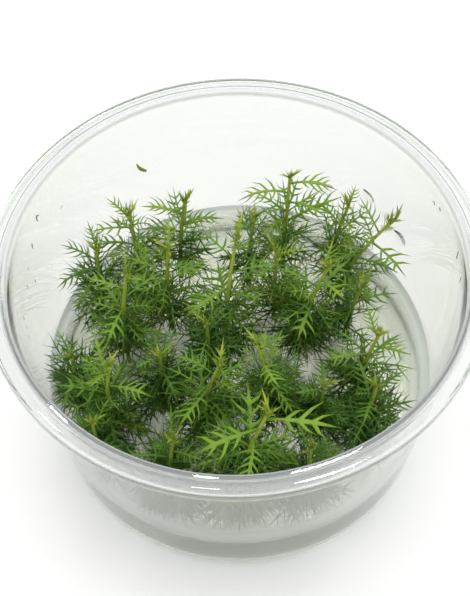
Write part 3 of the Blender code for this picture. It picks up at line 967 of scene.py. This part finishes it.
def foliageLeaves(shoot, own, chance):
    box = [np.array(corner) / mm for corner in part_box(shoot[0])]
    ripeAndLight = ripenessAndLight(shoot)
    behind = min(1.0, max(0.0, (shoot[1][1] - foliageLook["backFrom"]) / foliageLook["backDepth"]))
    fitted = list(ownLeaves(own, ripeAndLight, behind, chance))
    added = [
        *combLeaves(shoot, ripeAndLight, behind, chance),
        *threadLeaves(shoot, ripeAndLight, behind, chance),
        *youngLeaves(shoot, chance),
    ]
    for form, leaf, age in added:
        tried = squeeze(leaf, box)
        if tried:
            fitted.append((form, tried, age))
    return fitted


def joinArrays(name, parts):
    points = []
    faces = []
    traits = {trait: [] for trait in parts[0][2]}
    base = 0
    for partPoints, partFaces, partTraits in parts:
        points.append(partPoints)
        faces.extend(tuple(base + index for index in face) for face in partFaces)
        for trait, values in traits.items():
            values.append(np.broadcast_to(partTraits[trait], len(partPoints)))
        base += len(partPoints)
    mesh = bpy.data.meshes.new(name)
    mesh.from_pydata((np.vstack(points) * mm).tolist(), [], faces)
    for trait, values in traits.items():
        layer = mesh.attributes.new(trait, "FLOAT", "POINT")
        layer.data.foreach_set("value", np.concatenate(values).astype(np.float32))
    mesh.polygons.foreach_set("use_smooth", [True] * len(mesh.polygons))
    mesh.update()
    return addItem(name, mesh)


def dressShoot(shoot, own, chance):
    look = foliageLook
    name = shoot[0]
    parts = []
    for form, leaf, age in foliageLeaves(shoot, own, chance):
        points, faces, edge = chance.choice(leafModels[form])
        swept = points.copy()
        swept[:, 1] += chance.uniform(-1, 1) * look["sweep"] * points[:, 0] ** 2
        bent = bendPoints(leaf, swept)
        traits = {
            "age": np.clip(age + look["leafRipening"] * (points[:, 0] - 0.5), 0, 1),
            "hue": chance.random() * (1.0 if form == "thread" else look["highestHue"]),
            "edge": edge,
        }
        parts.append((bent, faces, traits))
    points, faces, share = bendStem(shoot, [pair[0] for pair in own])
    old = ripenessAndLight(shoot) * look["stemAge"][0] + look["stemAge"][1] * share
    age = np.maximum(old, look["footAge"][0] - look["footAge"][1] * share)
    parts.append((points, faces, {"age": np.clip(age, 0, 1), "hue": look["stemHue"], "edge": 0.0}))
    piece = joinArrays(name.replace("shoot", "plant"), parts)
    if shoot[2][2] > look["brightFinishFrom"]:
        finishPiece(piece, brightGreen, "foliage_bright", name)
    else:
        finishPiece(piece, darkGreen, "foliage_dark", name)
    return len(piece.data.polygons)


grown = growAll()
total = 0
for index, shoot in enumerate(shoots):
    total += dressShoot(shoot, grown[shoot[0]], random.Random(foliageLook["seed"] + index))
print("foliage dressed:", total, "faces")


# What sticks to the inside of the wall is drawn flat: across, up, and off the wall towards the axis
def stickOnWall(points, bearing, height, tilt, sunk):
    turn = math.radians(bearing)
    lean = math.radians(tilt)
    across = points[:, 0] * math.cos(lean) - points[:, 1] * math.sin(lean)
    up = points[:, 0] * math.sin(lean) + points[:, 1] * math.cos(lean) + height
    radius = innerRadius(up) + sunk - points[:, 2]
    return np.column_stack((
        radius * math.cos(turn) + across * math.sin(turn),
        radius * math.sin(turn) - across * math.cos(turn),
        up,
    ))


# Torn leaf tip on the back wall
scrapLook = {
    "bearing": 119.4, "height": 41.5, "tilt": 28, "length": 4.2, "thick": 0.24,
    "stations": ((0.0, 0.34), (0.3, 0.46), (0.6, 0.36), (0.85, 0.2)),
    "start": 0.1, "thinning": 0.85, "tipRise": 0.3, "smooth": 0.6, "bow": -0.45,
    "sunk": 0.03, "age": 0.95, "ripening": 0.3, "hue": 0.2, "edge": 0.4,
}


def modelScrap():
    startClean()
    look = scrapLook
    length, thick, start = look["length"], look["thick"], look["start"]
    width = look["stations"][0][1]
    low = -length / 2
    bpy.ops.mesh.primitive_cube_add(
        size=1, location=(0, low - start / 2, thick / 2), scale=(2 * width, start, thick)
    )
    scrap = startEdit()
    pickFaces(scrap, lambda middle, normal: normal.y > 0.9)
    along, here = 0.0, 0.0
    for share, reach in look["stations"][1:]:
        side = look["bow"] * math.sin(math.pi * share)
        pull((side - here, (share - along) * length, 0))
        bpy.ops.transform.resize(
            value=(reach / width, 1, look["thinning"]), center_override=(side, low + share * length, 0)
        )
        along, here, width = share, side, reach
    pull((-here, (1 - along) * length, look["tipRise"]))
    bpy.ops.mesh.merge(type="COLLAPSE")
    bpy.ops.mesh.select_all(action="SELECT")
    bpy.ops.mesh.subdivide(number_cuts=1, smoothness=look["smooth"])
    return takeMesh(scrap)


def addScrap():
    look = scrapLook
    points, faces = modelScrap()
    placed = stickOnWall(points, look["bearing"], look["height"], look["tilt"], look["sunk"])
    age = np.clip(look["age"] + look["ripening"] * points[:, 1] / look["length"], 0, 1)
    traits = {"age": age, "hue": look["hue"], "edge": look["edge"]}
    scrap = joinArrays("scrap_leaf", [(placed, faces, traits)])
    finishPiece(scrap, brightGreen, "foliage_bright", "leaf_scrap")


addScrap()

# Water drops on the wall: bearing, height, half width, half height, tilt
dropLook = {
    "segments": 14, "rings": 8, "cut": 0.25, "rise": 0.28, "flatness": 0.55, "taper": 0.6,
    "sunk": 0.05, "smooth": 50,
    "wall": (
        (44.7, 36.9, 1.9, 2.3, 42),
        (29.6, 32.6, 2.1, 2.4, 72),
        (58.0, 33.3, 1.2, 0.8, -10),
        (45.6, 31.7, 0.7, 0.6, 0),
        (158.8, 51.7, 0.8, 1.3, 20),
        (165.0, 47.9, 0.55, 1.2, 8),
        (148.9, 46.6, 0.55, 0.4, 0),
        (170.8, 46.1, 0.3, 0.8, 0),
        (170.2, 40.5, 0.4, 0.4, 0),
        (174.9, 43.6, 0.3, 0.9, 0),
        (176.1, 40.7, 0.3, 0.5, 0),
        (184.8, 43.5, 0.3, 0.6, 0),
        (185.7, 41.0, 0.3, 0.6, 0),
        (187.6, 39.3, 0.3, 0.8, -6),
        (197.2, 37.6, 0.3, 0.7, -10),
        (3.0, 52.6, 0.45, 1.5, 0),
        (-3.8, 51.4, 0.4, 1.2, 0),
        (20.5, 53.0, 0.7, 0.5, 0),
        (17.5, 53.6, 0.5, 0.6, 0),
    ),
    "finish": {
        "colour": (0.99, 0.99, 0.99), "roughness": 0.0, "haze": 0.01, "hazeScale": 300.0,
        "rippleScale": 800.0, "rippleStretch": (1.0, 1.0, 1.0), "ripple": 0.05,
        "ior": 1.333, "clear": 1.0, "shadow": (0.9, 0.9, 0.9), "tint": (0.98, 0.98, 0.98),
        "density": 1.0,
    },
}


# the upper part of a ball, closed by a flat face at the back
def modelDrop():
    startClean()
    look = dropLook
    bpy.ops.mesh.primitive_uv_sphere_add(segments=look["segments"], ring_count=look["rings"], radius=1)
    drop = startEdit()
    bpy.ops.mesh.bisect(plane_co=(0, 0, look["cut"]), plane_no=(0, 0, 1), clear_inner=True, use_fill=True)
    bpy.ops.mesh.select_all(action="SELECT")
    bpy.ops.transform.translate(value=(0, 0, -look["cut"]))
    bpy.ops.mesh.normals_make_consistent()
    return takeMesh(drop)


def addDrops():
    look = dropLook
    points, faces = modelDrop()
    parts = []
    for bearing, height, halfWidth, halfHeight, tilt in look["wall"]:
        rise = look["rise"] * min(halfWidth, halfHeight)
        shaped = points * np.array((halfWidth, halfHeight, 0.0))
        shaped[:, 0] *= 1 - look["taper"] * np.clip(points[:, 1], 0, 1)
        shaped[:, 2] = rise * np.clip(points[:, 2] / points[:, 2].max(), 0, 1) ** look["flatness"]
        parts.append((stickOnWall(shaped, bearing, height, tilt, look["sunk"]), faces, {}))
    drops = joinArrays("wall_drops", parts)
    startClean()
    drops.select_set(True)
    bpy.context.view_layer.objects.active = drops
    bpy.ops.object.shade_smooth_by_angle(angle=math.radians(look["smooth"]))
    finishPiece(drops, clearFinish("clear_water", look["finish"]), "clear_gel")


addDrops()
print("scrap and drops on the wall")


# Floor, light and camera
stageLook = {
    "floor": (0.87, 0.87, 0.865), "floorPatch": 0.985, "floorScale": 6.0,
    "floorRoughness": 0.75, "size": 8.0, "margin": 0.02, "drop": 0.5, "world": 1.12,
    # the sky from the horizon up
    "sky": (
        (0.0, (0.40, 0.41, 0.41)),
        (0.12, (0.58, 0.59, 0.59)),
        (0.35, (0.78, 0.79, 0.79)),
        (0.8, (1.0, 1.0, 1.0)),
    ),
    # place and aim in metres, size and power
    "lamps": {
        "top_light": ((0.15, 0.25, 1.3), (0, 0, 0.03), (1.1, 1.1), 5.4),
        "window_light": ((0.115, 0.319, 0.985), (0.015, -0.046, 0.059), (0.10, 0.05), 0.5),
        "front_window_light": ((-0.052, 0.304, 0.994), (-0.007, -0.048, 0.059), (0.035, 0.02), 0.1),
        "left_window_light": ((-0.254, 0.380, 0.942), (-0.034, -0.035, 0.059), (0.035, 0.03), 0.14),
    },
    "exposure": 0.0, "bounces": 16,
}


def addFloor():
    look = stageLook
    startClean()
    bpy.ops.mesh.primitive_plane_add(size=look["size"], location=(0, 0, -look["drop"] * mm))
    floor = bpy.context.object
    floor.name = "studio_floor"
    bpy.ops.object.mode_set(mode="EDIT")
    bpy.ops.mesh.select_all(action="SELECT")
    bpy.ops.mesh.inset(thickness=look["margin"], depth=0.0)
    bpy.ops.object.mode_set(mode="OBJECT")
    bpy.ops.object.transform_apply()
    finish = Finish("studio_floor")
    patch = tuple(value * look["floorPatch"] for value in look["floor"])
    shader = finish.node("BsdfPrincipled", {}, {
        "Base Color": finish.blend(finish.noise(look["floorScale"]), look["floor"], patch),
        "Roughness": look["floorRoughness"],
    })
    floor.data.materials.append(finish.close(shader))


def addWorld():
    world = bpy.data.worlds.new("studio")
    bpy.context.scene.world = world
    finish = Finish("studio", world)
    direction = finish.node("TexCoord", output="Generated")
    height = finish.node("SeparateXYZ", {}, {0: direction}, "Z")
    sky = finish.node("ValToRGB", {"stops": stageLook["sky"]}, {0: height})
    light = finish.node("Background", {}, {"Color": sky, "Strength": stageLook["world"]})
    finish.node("OutputWorld", {}, {"Surface": light})


def addLamp(name, place, aim, size, power):
    lamp = bpy.data.lights.new(name, "AREA")
    lamp.shape = "RECTANGLE"
    lamp.size, lamp.size_y = size
    lamp.energy = power
    item = addItem(name, lamp)
    item.location = place
    item.rotation_euler = (Vector(aim) - Vector(place)).to_track_quat("-Z", "Y").to_euler()


# distance from the middle of the rim, angles, then focal length, picture and its centre in pixels
cameraLook = {
    "distance": 168.45, "elevation": 53.85, "pitch": 3.02, "roll": -1.85, "focal": 850.0,
    "frame": (470, 596), "across": 237.4, "sensor": 36.0,
}


def addCamera():
    look = cameraLook
    rise = math.radians(look["elevation"])
    dip = -(rise + math.radians(look["pitch"]))
    roll = math.radians(look["roll"])
    back, above = look["distance"] * math.cos(rise), look["distance"] * math.sin(rise)
    place = Vector((0, -back, above + cupLook["height"])) * mm
    ahead = Vector((0, math.cos(dip), math.sin(dip)))
    up = Vector((0, -math.sin(dip), math.cos(dip)))
    right = Vector((1, 0, 0))
    turnedRight = right * math.cos(roll) + up * math.sin(roll)
    turnedUp = up * math.cos(roll) - right * math.sin(roll)
    lens = bpy.data.cameras.new("camera")
    item = addItem("camera", lens)
    turned = Matrix((turnedRight, turnedUp, -ahead)).transposed()
    item.matrix_world = Matrix.Translation(place) @ turned.to_4x4()
    lens.sensor_width = look["sensor"]
    lens.lens = look["focal"] / look["frame"][1] * look["sensor"]
    lens.shift_x = -(look["across"] - look["frame"][0] / 2) / look["frame"][1]
    lens.clip_start = 0.01
    bpy.context.scene.camera = item


addFloor()
addWorld()
for name, lamp in stageLook["lamps"].items():
    addLamp(name, *lamp)
addCamera()
scene = bpy.context.scene
scene.view_settings.view_transform = "Standard"
scene.view_settings.look = "None"
scene.view_settings.exposure = stageLook["exposure"]
scene.cycles.transmission_bounces = stageLook["bounces"]
scene.cycles.transparent_max_bounces = stageLook["bounces"]
scene.cycles.max_bounces = stageLook["bounces"]
print("floor, light and camera placed")
